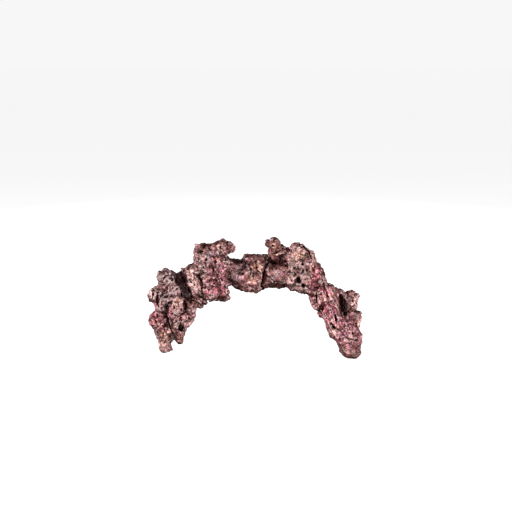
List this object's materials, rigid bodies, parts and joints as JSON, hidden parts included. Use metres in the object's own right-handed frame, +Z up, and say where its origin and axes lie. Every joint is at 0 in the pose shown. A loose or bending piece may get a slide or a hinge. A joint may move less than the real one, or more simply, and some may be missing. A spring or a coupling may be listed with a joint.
{
  "type": "dry reef rock",
  "caption": "Porous dry reef rock shaped as a rough arch on flat-trimmed feet, with lumps, pits and hollows under a pink to purple crust.",
  "frame": {"origin": "on the floor, under the middle of the arch", "axes": "+X along the span, -Y towards the side that the picture shows, +Z up"},
  "size_m": [0.3102, 0.0856, 0.1712],
  "materials": {
    "crust": "rough, porous, dull"
  },
  "bodies": {
    "root": {"reef_rock": "crust"}
  },
  "joints": []
}
